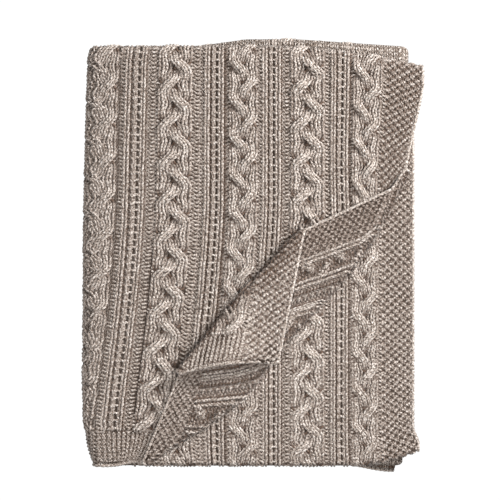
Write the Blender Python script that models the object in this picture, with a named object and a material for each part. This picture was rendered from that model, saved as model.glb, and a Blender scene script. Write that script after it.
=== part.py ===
# Cable-knit throw, folded into nine layers, with one corner turned back in a diagonal pleat.
# Metres, +Z up. The underside of the stack lies on z = 0, and +Y points to the end with the long fold.

import math

import bpy
import numpy as np
from mathutils.geometry import delaunay_2d_cdt

UNIT = 0.00127  # a twentieth of an inch, the grid of the plan tables

# Cloth
CLOTH = 0.0044
LAYER = 0.0052  # from one layer to the next
BLANKET_WIDTH = 1.23
BLANKET_LENGTH = 1.52
PLAIT_RAISE = 0.0019
RIB_RAISE = 0.0008

# Lengthwise fold: layer one on top, layer three below, layer two between them
EDGE_Y = -209.0 * UNIT  # knitted edge of layer one
TOP_FOLD_Y = 0.2583
BOTTOM_FOLD_Y = -0.2625

# Widthwise fold: group A on top, B under it, C at the bottom
SELVEDGE_X = 163.7 * UNIT
LEFT_FOLD_X = -0.1991
RIGHT_FOLD_X = 0.1852
GROUP = 3 * LAYER
GROUP_C_Z = LAYER + CLOTH / 2
GROUP_A_Z = GROUP_C_Z + 2 * GROUP
WRAP = GROUP / 2  # radius of a group's fold

# How far the columns of layer one lean to the left at the knitted edge
LEAN = 28 * UNIT
LEAN_START_Y = 59.5 * UNIT

# Diagonal pleat in the top layer, measured in the flat cloth from its corner
PLEAT_NORMAL = (0.79, 0.613)
INNER_FOLD_S = 88 * UNIT
OUTER_FOLD_S = 179 * UNIT
EDGE_P, SELVEDGE_P = -0.776, 1.289  # where the two edges of the cloth cut the pleat, per length of s
OUTER_RADIUS = 0.0046
INNER_RADIUS = 0.0050
SETTLE = 0.085  # length in which the field settles beside the outer fold
SETTLE_LESS = 0.028  # and how much shorter that is at the knitted edge
FLAP_ARCH = 0.009
LIP_SAG = 9 * UNIT
CORNER = (25.6, -106.1)
INNER_FOLD = (  # x, y
    (-75.6, -112.9),
    (-14.0, -40.2),
    (47.6, 28.8),
)
OUTER_FOLD = (  # x, y
    (-104.9, -208.8),
    (-75.6, -189.7),
    (-8.2, -142.8),
    (30.0, -92.9),
    (94.5, -22.6),
    (123.8, 18.5),
    (157.5, 83.0),
)

# Outline of the left side
LEFT_SIDE = (  # y, x
    (-214.0, -157.0),
    (-190.0, -163.7),
    (-164.0, -168.7),
    (-124.0, -170.7),
    (-44.0, -170.2),
    (55.0, -169.7),
    (135.0, -167.7),
    (195.0, -165.7),
    (212.0, -163.0),
)

# Plaits of the top layer, from the selvedge: start, end, and whether the upper strand runs outwards
PLAITS = (
    (37.6, 63.2, False),
    (92.5, 124.4, True),
    (158.8, 185.8, False),
    (224.9, 258.1, True),
    (300.6, 331.4, False),
)
HALF_PLAIT = 18.6 * UNIT
BORDER = 34 * UNIT
# Single ribs that frame the ladders: start, end
RIBS = (
    (67.6, 73.4), (80.4, 85.5), (134.6, 141.0), (148.0, 153.7),
    (191.6, 197.9), (205.9, 211.7), (271.4, 277.1), (286.8, 293.2),
)

# Heights at which every layer has points, so that neighbours keep their distance
Y_MARKS = (-190, -166, -130, -90, -40, 15, 70, 120, 160, 190)

TOP_LENGTH = TOP_FOLD_Y - EDGE_Y
TOP_TURN = TOP_LENGTH + math.pi * LAYER
UNDER_LENGTH = TOP_TURN + TOP_FOLD_Y - BOTTOM_FOLD_Y
BOTTOM_TURN = UNDER_LENGTH + math.pi * LAYER / 2
A_WIDTH = SELVEDGE_X - LEFT_FOLD_X
LEFT_TURN = A_WIDTH + math.pi * WRAP
B_WIDTH = LEFT_TURN + RIGHT_FOLD_X - LEFT_FOLD_X
RIGHT_TURN = B_WIDTH + math.pi * WRAP
OUTER_START = OUTER_FOLD_S + math.pi * OUTER_RADIUS / 2
OUTER_END = OUTER_FOLD_S - math.pi * OUTER_RADIUS / 2
INNER_START = INNER_FOLD_S + math.pi * INNER_RADIUS / 2
INNER_END = INNER_FOLD_S - math.pi * INNER_RADIUS / 2


def smooth(value, start, end):
    t = np.clip((value - start) / (end - start), 0, 1)
    return t * t * (3 - 2 * t)


def spline(table, count=161):
    """A Catmull-Rom curve through the table's points, evenly spaced, in metres."""
    points = np.array(table) * UNIT
    points = np.vstack([2 * points[0] - points[1], points, 2 * points[-1] - points[-2]])
    steps = np.linspace(0, 1, 24, endpoint=False)[:, None]
    curve = []
    for a, b, c, d in zip(points, points[1:], points[2:], points[3:]):
        curve.append(
            0.5 * (2 * b + (c - a) * steps + (2 * a - 5 * b + 4 * c - d) * steps**2
                   + (3 * b - a - 3 * c + d) * steps**3)
        )
    curve = np.vstack(curve + [points[-2][None]])
    run = np.concatenate([[0], np.cumsum(np.linalg.norm(np.diff(curve, axis=0), axis=1))])
    even = np.linspace(0, run[-1], count)
    return np.stack([np.interp(even, run, curve[:, 0]), np.interp(even, run, curve[:, 1])], 1)


def outward(curve, side):
    along = np.gradient(curve, axis=0)
    along /= np.linalg.norm(along, axis=1)[:, None]
    return np.stack([along[:, 1], -along[:, 0]], 1) * side


OUTER = spline(OUTER_FOLD)
OUTER_OUT = outward(OUTER, 1)
OUTER_TURN = OUTER - OUTER_OUT * (OUTER_RADIUS + CLOTH / 2)
INNER = spline(INNER_FOLD)
INNER_OUT = outward(INNER, -1)
INNER_TURN = INNER - INNER_OUT * (INNER_RADIUS + CLOTH / 2)


def on_curve(curve, t):
    index = np.linspace(0, 1, len(curve))
    return np.stack([np.interp(t, index, curve[:, 0]), np.interp(t, index, curve[:, 1])], -1)


def section(v, offset):
    """Along the length: y, and the level within its group, at an offset to the right side of the cloth."""
    y, level = EDGE_Y + v, LAYER + offset
    turn = (v > TOP_LENGTH) & (v <= TOP_TURN)
    angle = (v - TOP_LENGTH) / LAYER
    y = np.where(turn, TOP_FOLD_Y + (LAYER + offset) * np.sin(angle), y)
    level = np.where(turn, (LAYER + offset) * np.cos(angle), level)
    under = (v > TOP_TURN) & (v <= UNDER_LENGTH)
    y = np.where(under, TOP_FOLD_Y - (v - TOP_TURN), y)
    level = np.where(under, -LAYER - offset, level)
    turn = (v > UNDER_LENGTH) & (v <= BOTTOM_TURN)
    angle = (v - UNDER_LENGTH) / (LAYER / 2)
    y = np.where(turn, BOTTOM_FOLD_Y - (LAYER / 2 + offset) * np.sin(angle), y)
    level = np.where(turn, -LAYER / 2 - (LAYER / 2 + offset) * np.cos(angle), level)
    middle = v > BOTTOM_TURN
    y = np.where(middle, BOTTOM_FOLD_Y + (v - BOTTOM_TURN), y)
    return y, np.where(middle, offset, level)


def across(w):
    """Along the width: the group's middle line and its normal."""
    x, z = SELVEDGE_X - w, np.full_like(w, GROUP_A_Z)
    nx, nz = np.zeros_like(w), np.ones_like(w)
    turn = (w > A_WIDTH) & (w <= LEFT_TURN)
    angle = (w - A_WIDTH) / WRAP
    x = np.where(turn, LEFT_FOLD_X - WRAP * np.sin(angle), x)
    z = np.where(turn, GROUP_A_Z - WRAP + WRAP * np.cos(angle), z)
    nx, nz = np.where(turn, -np.sin(angle), nx), np.where(turn, np.cos(angle), nz)
    back = (w > LEFT_TURN) & (w <= B_WIDTH)
    x = np.where(back, LEFT_FOLD_X + (w - LEFT_TURN), x)
    z, nz = np.where(back, GROUP_A_Z - GROUP, z), np.where(back, -1, nz)
    turn = (w > B_WIDTH) & (w <= RIGHT_TURN)
    angle = (w - B_WIDTH) / WRAP
    x = np.where(turn, RIGHT_FOLD_X + WRAP * np.sin(angle), x)
    z = np.where(turn, GROUP_A_Z - GROUP - WRAP + WRAP * np.cos(angle), z)
    nx, nz = np.where(turn, -np.sin(angle), nx), np.where(turn, -np.cos(angle), nz)
    last = w > RIGHT_TURN
    x = np.where(last, RIGHT_FOLD_X - (w - RIGHT_TURN), x)
    z, nz = np.where(last, GROUP_C_Z, z), np.where(last, 1, nz)
    return x, z, nx, nz


def settled(x, y, v, w):
    """The small shifts of each group and layer from the straight fold."""
    lower = smooth(w, A_WIDTH, B_WIDTH * 0.8)
    upper = 1 - lower
    first = 1 - smooth(v, TOP_LENGTH * 0.5, TOP_LENGTH * 0.8)
    third = smooth(v, TOP_LENGTH, TOP_TURN + 0.02) * (1 - smooth(v, UNDER_LENGTH - 0.1, UNDER_LENGTH))
    right = np.clip(x / (170.8 * UNIT), 0, 1.1)
    top = smooth(y, 0.05, TOP_FOLD_Y)
    bottom = 1 - smooth(y, BOTTOM_FOLD_Y, -0.08)
    corner = np.clip((x - 95 * UNIT) / (70.8 * UNIT), 0, 1.1)
    dy = upper * (-21.5 * UNIT * right**2.2 * top + 15.5 * UNIT * corner**2 * bottom)
    dy += lower * 6 * UNIT * smooth(x, -75 * UNIT, 0) * (1 - 0.9 * smooth(x, 30 * UNIT, 157 * UNIT)) * top
    dy -= lower * first * 7.5 * UNIT * smooth(x, 90 * UNIT, 148 * UNIT) * bottom
    near = np.clip(1 - w / (110 * UNIT), 0, 1) ** 2
    lean = np.clip(0.125 * (y - 133.5 * UNIT), -6.2 * UNIT, 8 * UNIT)
    dx = near * lean * np.maximum(1 - smooth(v, TOP_TURN, TOP_TURN + 0.12), 0)
    dx += near * 1.3 * UNIT * third
    dx -= lower * 6 * UNIT * smooth(x, 0, RIGHT_FOLD_X) * (1 - smooth(y, BOTTOM_FOLD_Y, 0.1))
    table = np.array(LEFT_SIDE) * UNIT
    inwards = np.interp(y, table[:, 0], table[:, 1]) + 170.0 * UNIT
    return x + dx + inwards * (1 - smooth(x, LEFT_FOLD_X, 0.0)), y + dy


def leaning(v):
    """How far to the left the columns of layer one stand."""
    rise = np.clip((LEAN_START_Y - EDGE_Y - v) / (LEAN_START_Y - EDGE_Y), 0, 1)
    return LEAN * rise**1.5


def laid(u, v, offset):
    """The cloth without the pleat."""
    y, level = section(v, offset)
    w = u + leaning(v) * (1 - smooth(u, LEFT_TURN, B_WIDTH))
    x, z, nx, nz = across(w)
    x, y = settled(x + level * nx, y, v, w)
    return np.stack([x, y, z + level * nz], -1)


def pleat_place(u, v):
    s = np.maximum(PLEAT_NORMAL[0] * u + PLEAT_NORMAL[1] * v, 1e-4)
    p = -PLEAT_NORMAL[1] * u + PLEAT_NORMAL[0] * v
    return s, (p / s - EDGE_P) / (SELVEDGE_P - EDGE_P)


def flat_place(s, t):
    """The reverse of pleat_place."""
    p = s * (EDGE_P + t * (SELVEDGE_P - EDGE_P))
    return PLEAT_NORMAL[0] * s - PLEAT_NORMAL[1] * p, PLEAT_NORMAL[1] * s + PLEAT_NORMAL[0] * p


def placed(u, v, offset):
    """A point of the cloth, at an offset to its right side."""
    base = laid(u, v, offset)
    s, t = pleat_place(u, v)
    inside = np.clip(t, 0, 1)
    top_z = GROUP_A_Z + LAYER
    outer, inner = on_curve(OUTER_TURN, inside), on_curve(INNER_TURN, inside)
    outer_out, inner_out = on_curve(OUTER_OUT, inside), on_curve(INNER_OUT, inside)

    at_turn = laid(*flat_place(np.full_like(s, OUTER_START), inside), offset)[..., :2]
    reach = SETTLE - SETTLE_LESS * (1 - smooth(inside, 0, 0.25))
    hold = 1 - smooth(s, OUTER_START, OUTER_START + reach)
    plan = base[..., :2] + hold[..., None] * (outer - at_turn)
    height = base[..., 2]

    angle = (OUTER_START - s) / OUTER_RADIUS
    turn = (s <= OUTER_START) & (s > OUTER_END)
    radius = OUTER_RADIUS - offset
    plan = np.where(turn[..., None], outer + outer_out * (radius * np.sin(angle))[..., None], plan)
    height = np.where(turn, top_z + OUTER_RADIUS - radius * np.cos(angle), height)

    share = (OUTER_END - s) / (OUTER_END - INNER_START)
    strip = (s <= OUTER_END) & (s > INNER_START)
    belly = LIP_SAG * np.sin(math.pi * np.clip(share, 0, 1)) * smooth(inside, 0.7, 1)
    lip = outer * (1 - share)[..., None] + inner * share[..., None]
    lip = lip - np.stack([0 * belly, belly], -1)
    plan = np.where(strip[..., None], lip, plan)
    strip_z = top_z + 2 * OUTER_RADIUS
    height = np.where(strip, strip_z - offset, height)

    angle = (INNER_START - s) / INNER_RADIUS
    turn = (s <= INNER_START) & (s > INNER_END)
    radius = INNER_RADIUS + offset
    plan = np.where(turn[..., None], inner + inner_out * (radius * np.sin(angle))[..., None], plan)
    height = np.where(turn, strip_z + INNER_RADIUS - radius * np.cos(angle), height)

    share = (INNER_END - s) / INNER_END
    flap = s <= INNER_END
    corner = np.array(CORNER) * UNIT
    plan = np.where(flap[..., None], inner * (1 - share)[..., None] + corner * share[..., None], plan)
    arch = FLAP_ARCH * np.sin(math.pi * np.clip(share, 0, 1) ** 0.9) ** 2 * (1 - smooth(inside, 0, 0.75))
    height = np.where(flap, strip_z + 2 * INNER_RADIUS + offset + arch, height)

    pleated = (v < TOP_LENGTH) & (s < OUTER_START + SETTLE) & (u < A_WIDTH - LEAN)
    return np.where(pleated[..., None], np.concatenate([plan, height[..., None]], -1), base)


def plait(place, v, outwards):
    """Height of a three-strand plait from 0 to 1, place from -1.5 to 1.5 across it."""
    cross, part = np.divmod(v / HALF_PLAIT, 1.0)
    side = np.where(cross % 2 == 0, 1.0, -1.0)
    slide = smooth(part, 0, 1)
    lift = 0.32 * np.sin(math.pi * part)
    over = 1 - slide if outwards else slide
    strands = (
        (side * over, lift),
        (side * (1 - over), -lift),
        (-side, 0 * lift),
    )
    height = np.zeros_like(v)
    for centre, raised in strands:
        height = np.maximum(height, 0.68 + raised - 1.5 * (place - centre) ** 2)
    return height


def raise_of(u, v):
    """Relief of the right side where it shows."""
    height = np.zeros_like(u)
    for start, end in RIBS:
        place = (u / UNIT - (start + end) / 2) / ((end - start) / 2)
        height = np.maximum(height, RIB_RAISE * (1 - place**2))
    for start, end, outwards in PLAITS:
        place = 1.5 * (u / UNIT - (start + end) / 2) / ((end - start) / 2)
        height = np.where(abs(place) < 1.6, PLAIT_RAISE * plait(place, v, outwards), height)
    return height


def shows(u, v):
    """1 where the right side of the cloth is open to view, else 0."""
    s, _ = pleat_place(u, v)
    plan = placed(u, v, np.zeros_like(u))[..., :2]
    beyond = side_of_outer_fold(plan)
    first = v < TOP_LENGTH + 0.004
    past_border = smooth(v, BORDER, BORDER + 0.004) * smooth(u, BORDER, BORDER + 0.002)
    covered = smooth(s, OUTER_START + 0.062, OUTER_START + 0.075)
    field = covered * (1 - smooth(u + leaning(v), A_WIDTH, A_WIDTH + 0.008))
    flap = 1 - smooth(s, INNER_START - 0.004, INNER_START)
    top = np.where(s < OUTER_FOLD_S, flap, field) * past_border
    second = smooth(beyond, 0.020, 0.026) * (u < A_WIDTH) * smooth(u, BORDER, BORDER + 0.002)
    second = second * smooth(v, BOTTOM_TURN + 0.004, BOTTOM_TURN + 0.010)
    return np.where(first, top, second)


def side_of_outer_fold(plan):
    """Distance past the outer fold, towards the open corner."""
    gap = np.linalg.norm(plan[..., None, :] - OUTER, axis=-1)
    nearest = gap.argmin(-1)
    offset = plan - OUTER[nearest]
    side = (offset * OUTER_OUT[nearest]).sum(-1)
    return np.where(side > 0, gap.min(-1), -gap.min(-1))


def frame_lines():
    """Polylines in the flat cloth that both faces follow: folds, edges and the pleat."""
    turns = 6
    y_marks = np.array(Y_MARKS) * UNIT
    v_marks = np.concatenate([
        [0.0], y_marks - EDGE_Y, np.linspace(TOP_LENGTH, TOP_TURN, turns + 1),
        TOP_TURN + TOP_FOLD_Y - y_marks[::-1], np.linspace(UNDER_LENGTH, BOTTOM_TURN, turns + 1),
        BOTTOM_TURN + y_marks[:-1] - BOTTOM_FOLD_Y, [BLANKET_LENGTH],
    ])
    lines = []
    for start, end in ((A_WIDTH, LEFT_TURN), (B_WIDTH, RIGHT_TURN)):
        for w in np.linspace(start, end, turns + 1):
            lines.append(np.stack([w - leaning(v_marks) * (w < B_WIDTH), v_marks], 1))
    u_marks = np.concatenate([
        np.linspace(0, A_WIDTH - LEAN, 7)[1:-1],
        np.linspace(LEFT_TURN, B_WIDTH, 7)[1:-1],
        np.linspace(RIGHT_TURN, BLANKET_WIDTH, 6)[1:-1],
    ])
    return v_marks, u_marks, lines


def pleat_lines():
    marks = list(np.linspace(OUTER_START, OUTER_END, 7)) + list(np.linspace(INNER_START, INNER_END, 7))
    marks += [(OUTER_END + INNER_START) / 2, INNER_END * 0.66, INNER_END * 0.33]
    marks += [OUTER_START + SETTLE * k for k in (0.33, 0.66, 1.0)]
    lines = []
    for s in marks:
        count = 3 + int(s / 0.022)
        u, v = flat_place(np.full(count, s), np.linspace(0, 1, count))
        lines.append(np.stack([np.maximum(u, 0), np.maximum(v, 0)], 1))
    return lines


def relief_points():
    """Extra points across the plaits and ribs, where they show."""
    points = []
    rows = np.arange(BORDER + 0.002, TOP_LENGTH + 0.002, HALF_PLAIT / 3)
    rows = np.concatenate([rows, np.arange(BOTTOM_TURN + 0.006, BLANKET_LENGTH - 0.1, HALF_PLAIT / 3)])
    for start, end, _ in PLAITS:
        for place in np.linspace(start, end, 7):
            points.append(np.stack([np.full_like(rows, place * UNIT), rows], 1))
    for start, end in RIBS:
        for place in (start, (start + end) / 2, end):
            points.append(np.stack([np.full_like(rows[::6], place * UNIT), rows[::6]], 1))
    points = np.vstack(points)
    return points[shows(points[:, 0], points[:, 1]) > 0.5]


def triangulate(lines, extra):
    """Constrained triangles over the flat cloth."""
    points, edges = [], []
    known = {}

    def index_of(point):
        key = (round(point[0], 5), round(point[1], 5))
        if key not in known:
            known[key] = len(points)
            points.append(key)
        return known[key]

    for line in lines:
        ids = [index_of(point) for point in line]
        edges += [(a, b) for a, b in zip(ids, ids[1:]) if a != b]
    fixed = np.array(points)
    for point in extra:
        if np.linalg.norm(fixed - point, axis=1).min() > 0.0022:
            index_of(point)
    found = delaunay_2d_cdt(points, edges, [], 0, 1e-7)
    return np.array([tuple(point) for point in found[0]]), np.array([tuple(face) for face in found[2]])


def boundary(faces):
    ends = np.concatenate([faces[:, [0, 1]], faces[:, [1, 2]], faces[:, [2, 0]]])
    ordered = {(a, b) for a, b in ends.tolist()}
    return [(a, b) for a, b in ordered if (b, a) not in ordered]


def keep_inside(flat, faces):
    """Turns every triangle the same way and drops flat ones."""
    a, b, c = flat[faces[:, 0]], flat[faces[:, 1]], flat[faces[:, 2]]
    area = (b[:, 0] - a[:, 0]) * (c[:, 1] - a[:, 1]) - (b[:, 1] - a[:, 1]) * (c[:, 0] - a[:, 0])
    faces = np.where((area < 0)[:, None], faces[:, ::-1], faces)
    return faces[abs(area) > 1e-12]


def build_blanket():
    v_marks, u_marks, folds = frame_lines()
    pleat = pleat_lines()
    settle_end = OUTER_START + SETTLE

    def clear_of_pleat(points):
        s, _ = pleat_place(points[:, 0], points[:, 1])
        return points[(s > settle_end + 0.012) | (points[:, 1] > TOP_LENGTH + 1e-6)]

    across_marks = np.concatenate([[0.0], u_marks, [BLANKET_WIDTH]])
    lines = folds + pleat
    edge_u = np.concatenate([across_marks, [line[0, 0] for line in folds], [line[0, 0] for line in pleat]])
    last_u = np.concatenate([across_marks, [line[-1, 0] for line in folds]])
    side_v = np.concatenate([v_marks, [line[-1, 1] for line in pleat]])

    def straight(values, at, along_u):
        values = np.unique(np.round(values, 5))
        fixed = np.full_like(values, at)
        return np.stack([values, fixed] if along_u else [fixed, values], 1)

    def spread(values, gap=0.004):
        kept = []
        for value in np.unique(np.round(values, 5)):
            if not kept or value - kept[-1] > gap:
                kept.append(value)
        return np.array(kept)

    pleat_u = np.array([line[0, 0] for line in pleat])
    pleat_v = np.array([line[-1, 1] for line in pleat])
    plain_u = np.array([u for u in across_marks if abs(pleat_u - u).min() > 0.006 or u == 0.0])
    plain_v = np.array([v for v in v_marks if abs(pleat_v - v).min() > 0.006 or v > TOP_LENGTH - 0.01 or v == 0.0])
    fold_u = np.array([line[0, 0] for line in folds])
    lines.append(straight(np.concatenate([plain_u, pleat_u, fold_u]), 0.0, True))
    lines.append(straight(last_u, BLANKET_LENGTH, True))
    lines.append(straight(np.concatenate([plain_v, pleat_v]), 0.0, False))
    lines.append(straight(v_marks, BLANKET_WIDTH, False))

    inner_u = spread(np.concatenate([u_marks, np.linspace(0, BLANKET_WIDTH, 2)[1:-1]]))
    extra = []
    for v in v_marks[1:-1]:
        extra.append(np.stack([inner_u, np.full_like(inner_u, v)], 1))
    coarse = clear_of_pleat(np.vstack(extra))
    turns = (v_marks > TOP_LENGTH - 1e-6) & (v_marks < TOP_TURN + 1e-6)
    turns |= (v_marks > UNDER_LENGTH - 1e-6) & (v_marks < BOTTOM_TURN + 1e-6)
    for v in v_marks[turns]:
        fold_at = [np.interp(v, line[:, 1], line[:, 0]) for line in folds]
        lines.append(straight(np.concatenate([[0.0, BLANKET_WIDTH], inner_u, fold_at]), v, True))

    flat_back, faces_back = triangulate(lines, coarse)
    flat_front, faces_front = triangulate(lines, np.vstack([coarse, relief_points()]))
    faces_back, faces_front = keep_inside(flat_back, faces_back), keep_inside(flat_front, faces_front)

    sides = []
    for flat, sign in ((flat_front, 1), (flat_back, -1)):
        u = np.clip(flat[:, 0], 0, BLANKET_WIDTH)
        v = np.clip(flat[:, 1], 0, BLANKET_LENGTH)
        offset = np.full_like(u, sign * CLOTH / 2)
        if sign > 0:
            offset = offset + raise_of(u, v) * shows(u, v)
        sides.append(placed(u, v, offset))

    points = np.vstack(sides)
    shift = len(flat_front)
    rim_front, rim_back = boundary(faces_front), boundary(faces_back)
    at_back = {tuple(np.round(flat_back[a], 5)): a for edge in rim_back for a in edge}
    triangles = [tuple(face[::-1]) for face in faces_front]
    triangles += [tuple(face + shift) for face in faces_back]
    for a, b in rim_front:
        c, d = (at_back[tuple(np.round(flat_front[k], 5))] + shift for k in (a, b))
        triangles += [(a, b, d), (a, d, c)]
    return points, triangles


def wool():
    material = bpy.data.materials.new("heathered_wool")
    material.use_nodes = True
    shader = material.node_tree.nodes["Principled BSDF"]
    shader.inputs["Base Color"].default_value = (0.36, 0.29, 0.24, 1)
    shader.inputs["Roughness"].default_value = 0.95
    return material


for thing in list(bpy.data.objects):
    bpy.data.objects.remove(thing)

points, triangles = build_blanket()
mesh = bpy.data.meshes.new("blanket")
mesh.from_pydata(points.tolist(), [], [tuple(int(i) for i in face) for face in triangles])
mesh.update()
blanket = bpy.data.objects.new("blanket", mesh)
blanket.data.materials.append(wool())
bpy.context.scene.collection.objects.link(blanket)
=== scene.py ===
import math

import bpy
import numpy as np
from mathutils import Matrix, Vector
from mathutils.geometry import delaunay_2d_cdt


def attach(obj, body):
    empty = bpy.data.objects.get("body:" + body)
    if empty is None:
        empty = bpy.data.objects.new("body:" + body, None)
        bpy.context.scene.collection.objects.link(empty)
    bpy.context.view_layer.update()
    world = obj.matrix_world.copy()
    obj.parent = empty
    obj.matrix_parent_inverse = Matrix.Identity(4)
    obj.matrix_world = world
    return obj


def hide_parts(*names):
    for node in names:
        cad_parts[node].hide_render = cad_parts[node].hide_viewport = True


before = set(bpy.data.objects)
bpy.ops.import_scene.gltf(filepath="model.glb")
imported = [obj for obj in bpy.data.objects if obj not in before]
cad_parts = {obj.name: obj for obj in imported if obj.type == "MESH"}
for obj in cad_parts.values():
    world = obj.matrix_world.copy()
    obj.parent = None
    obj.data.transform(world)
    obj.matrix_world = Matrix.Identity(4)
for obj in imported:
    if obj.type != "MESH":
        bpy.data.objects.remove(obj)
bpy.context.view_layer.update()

# Sizes of the folded cloth, in metres. Tables are in units of a twentieth of an inch
unit = 0.00127
cloth = {
    "width": 1.23,
    "length": 1.52,
    "thick": 0.0044,
    "core": 0.0010,
    "layer": 0.0052,
    "edgeY": -209.0 * unit,
    "topFoldY": 0.2583,
    "bottomFoldY": -0.2625,
    "selvedgeX": 163.7 * unit,
    "leftFoldX": -0.1991,
    "rightFoldX": 0.1852,
    "lean": 28 * unit,
    "leanStartY": 59.5 * unit,
}
# The turned-back corner: inner and outer are where its folds lie, from the corner of the flat cloth
pleat = {
    "normal": (0.79, 0.613),
    "inner": 88 * unit,
    "outer": 179 * unit,
    "edgeP": -0.776,
    "selvedgeP": 1.289,
    "outerRadius": 0.0046,
    "innerRadius": 0.0050,
    "settle": 0.085,
    "settleLess": 0.028,
    "arch": 0.012,
    "edgeRise": 5.5 * unit,
    "lipSag": 13 * unit,
    "sagFrom": 0.7,
    "edgeRiseTo": 0.4,
    "archTo": 0.75,
    "corner": (25.6, -106.1),
    "innerFold": ((-75.6, -112.9), (-14.0, -40.2), (47.6, 28.8)),
    "outerFold": (
        (-104.9, -208.8), (-75.6, -189.7), (-8.2, -142.8), (30.0, -92.9),
        (94.5, -22.6), (123.8, 18.5), (157.5, 83.0),
    ),
}
# Outline of the left side as y, x, and the levels at which the core has cross lines
leftSide = (
    (-214.0, -159.5), (-190.0, -166.0), (-164.0, -170.2), (-124.0, -171.0), (-44.0, -170.2),
    (55.0, -169.7), (135.0, -167.7), (195.0, -165.7), (212.0, -163.0),
)
yMarks = (-190, -166, -130, -90, -40, 15, 70, 120, 160, 190)

# The chart across the blanket from the selvedge: kind, stitches, width
chart = (
    ("border", 8, 33.8), ("ground", 1, 3.8), ("plaitIn", 6, 25.6), ("ground", 1, 4.4),
    ("rib", 1, 5.8), ("ladder", 2, 7.0), ("rib", 1, 5.1),
    ("ground", 2, 7.0), ("plaitOut", 6, 31.9), ("ground", 2, 10.2),
    ("rib", 1, 6.4), ("ladder", 2, 7.0), ("rib", 1, 5.7),
    ("ground", 1, 5.1), ("plaitIn", 6, 27.0), ("ground", 1, 5.8),
    ("rib", 1, 6.3), ("ladder", 2, 8.0), ("rib", 1, 5.8),
    ("ground", 2, 13.2), ("plaitOut", 6, 33.2), ("ground", 2, 13.3),
    ("rib", 1, 5.7), ("ladder", 2, 9.7), ("rib", 1, 6.4),
    ("ground", 1, 7.4), ("plaitIn", 6, 30.8), ("ground", 1, 6.0),
    ("rib", 1, 6.0), ("ladder", 2, 9.0), ("rib", 1, 6.0), ("ground", 2, 11.0),
)
# What repeats beyond the left fold, out of sight but for the edges
chartRepeat = (
    ("plaitOut", 6, 33.0), ("ground", 2, 12.0), ("rib", 1, 6.2), ("ladder", 2, 9.5), ("rib", 1, 6.2),
    ("ground", 1, 7.0), ("plaitIn", 6, 30.0), ("ground", 1, 7.0),
    ("rib", 1, 6.2), ("ladder", 2, 9.5), ("rib", 1, 6.2), ("ground", 2, 11.3),
)
# Size and relief of the stitches. Phases are in half plaits, and the tuck is in units
knit = {
    "row": 3.73 * unit,
    "firstRow": 0.9,
    "borderRows": 9,
    "borderStitch": 4.1 * unit,
    "wale": 5.0 * unit,
    "waleStart": 200 * unit,
    "waleGroove": 1.8,
    "halfPlait": 18.65 * unit,
    "plaitStart": 1.197,
    "depth": 0.0012,
    "plaitRaise": 0.0008,
    "plaitLift": 0.0024,
    "plaitRound": 0.0020,
    "plaitWiden": 1.07,
    "ribRaise": 0.0006,
    "groundDrop": 0.0005,
    "bumpRaise": 0.0005,
    "ladderPull": 0.30,
    "ladderDrop": 0.0003,
    "flapStretch": 0.20,
    "tuck": 4.6,
    "secondPhase": 0.41,
    "secondLength": 0.46,
    "sidePhase": 0.2,
    "coreStitch": 0.0060,
    "wrongBumps": 0.0022,
    "jitter": 0.05,
    "depthJitter": 0.002,
    "seed": 7,
}
# How the strands of a plait set off, arrive, close up and spread
strands = {
    "leave": (0.03, 0.88),
    "arrive": (0.12, 0.97),
    "closeUp": 0.16,
    "spreadStraight": 0.32,
    "spreadOver": 0.20,
    "spreadUnder": 0.10,
    "under": 0.5,
}
# Thickness of the yarn. Pairs are factors for knit and for purl loops
yarn = {
    "share": 0.205,
    "extra": 0.0001,
    "range": (0.00105, 0.0015),
    "seedStitch": (0.80, 1.24),
    "ladder": (1.2, 1.12),
    "flap": 0.32,
    "chain": 0.0020,
    "chainBead": 0.16,
    "sides": 5,
    "foldSides": 4,
    "turn": 0.3,
    "plyLength": 0.004,
    "longestStep": 0.0062,
}
# Bumps on the wrong side, in shares of the knit's wrongBumps
wrongLumps = {
    "ground": 0.8,
    "rib": 0.15,
    "other": 0.2,
    "ladderKnit": 0.7,
    "strandUnder": 2.4,
    "strandJitter": 4,
}
# Painted shade and light on the yarn: its lightness from 0 in a hollow to about 1 on a crest, and the
# painted shade or light that is added where
shading = {
    "lowest": 0.0011,
    "range": 0.0026,
    "most": 1.2,
    "seedStitch": (-0.20, 0.12),
    "ladder": 0.16,
    "wale": 0.15,
    "waleGroove": -1.5,
    "strandUnder": 1.45,
    "strandOver": 0.25,
    "strandSides": -0.30,
    "plait": 0.12,
    "wrongSide": -0.12,
    "wrongBumps": 0.55,
    "bumpMiddle": 0.45,
    "flap": 0.12,
    "innerFold": -0.24,
    "bottomFold": -0.15,
    "sideBorder": -0.16,
    # Painted shade: the left fold is set to one even mid lightness
    "leftFold": 0.62,
    "leftFoldMix": 0.85,
    # Painted shadow under the flap's knitted edge, and the painted lightness of the edge chains
    "flapShadow": 0.7,
    "chain": 1.05,
    "firstRowChain": 0.8,
    # How much of the core shows knit instead of its painted shadow colour
    "bareLeftFold": 0.5,
    "bareWrongSide": 0.35,
}
# Colours of the heather, its noises as scale, detail and roughness, and where they turn. Hollow and core
# are painted shade colours, not colours of the wool
heatherLook = {
    "dark": (0.10, 0.068, 0.05, 1),
    "middle": (0.52, 0.42, 0.35, 1),
    "light": (1.0, 0.93, 0.87, 1),
    # Painted shade colour for the yarn's hollows, and painted shadow colour for the core seen between the
    # yarns
    "hollow": (0.18, 0.11, 0.07, 1),
    "core": (0.10, 0.072, 0.056, 1),
    "flecks": (420, 3, 0.65),
    "fine": (1900, 2, 0.5),
    "darkRange": (0.40, 0.51),
    "lightRange": (0.49, 0.59),
}
# Where the yarn that shows begins and ends
margins = {
    "pastOuterFold": 0.004,
    "underPleat": 0.017,
    "leftTurn": 0.004,
    "secondSeen": -0.014,
    "secondLeftX": -0.15,
    "secondRightX": 0.176,
    "rightFold": 0.010,
    "selvedge": 0.012,
}
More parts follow.
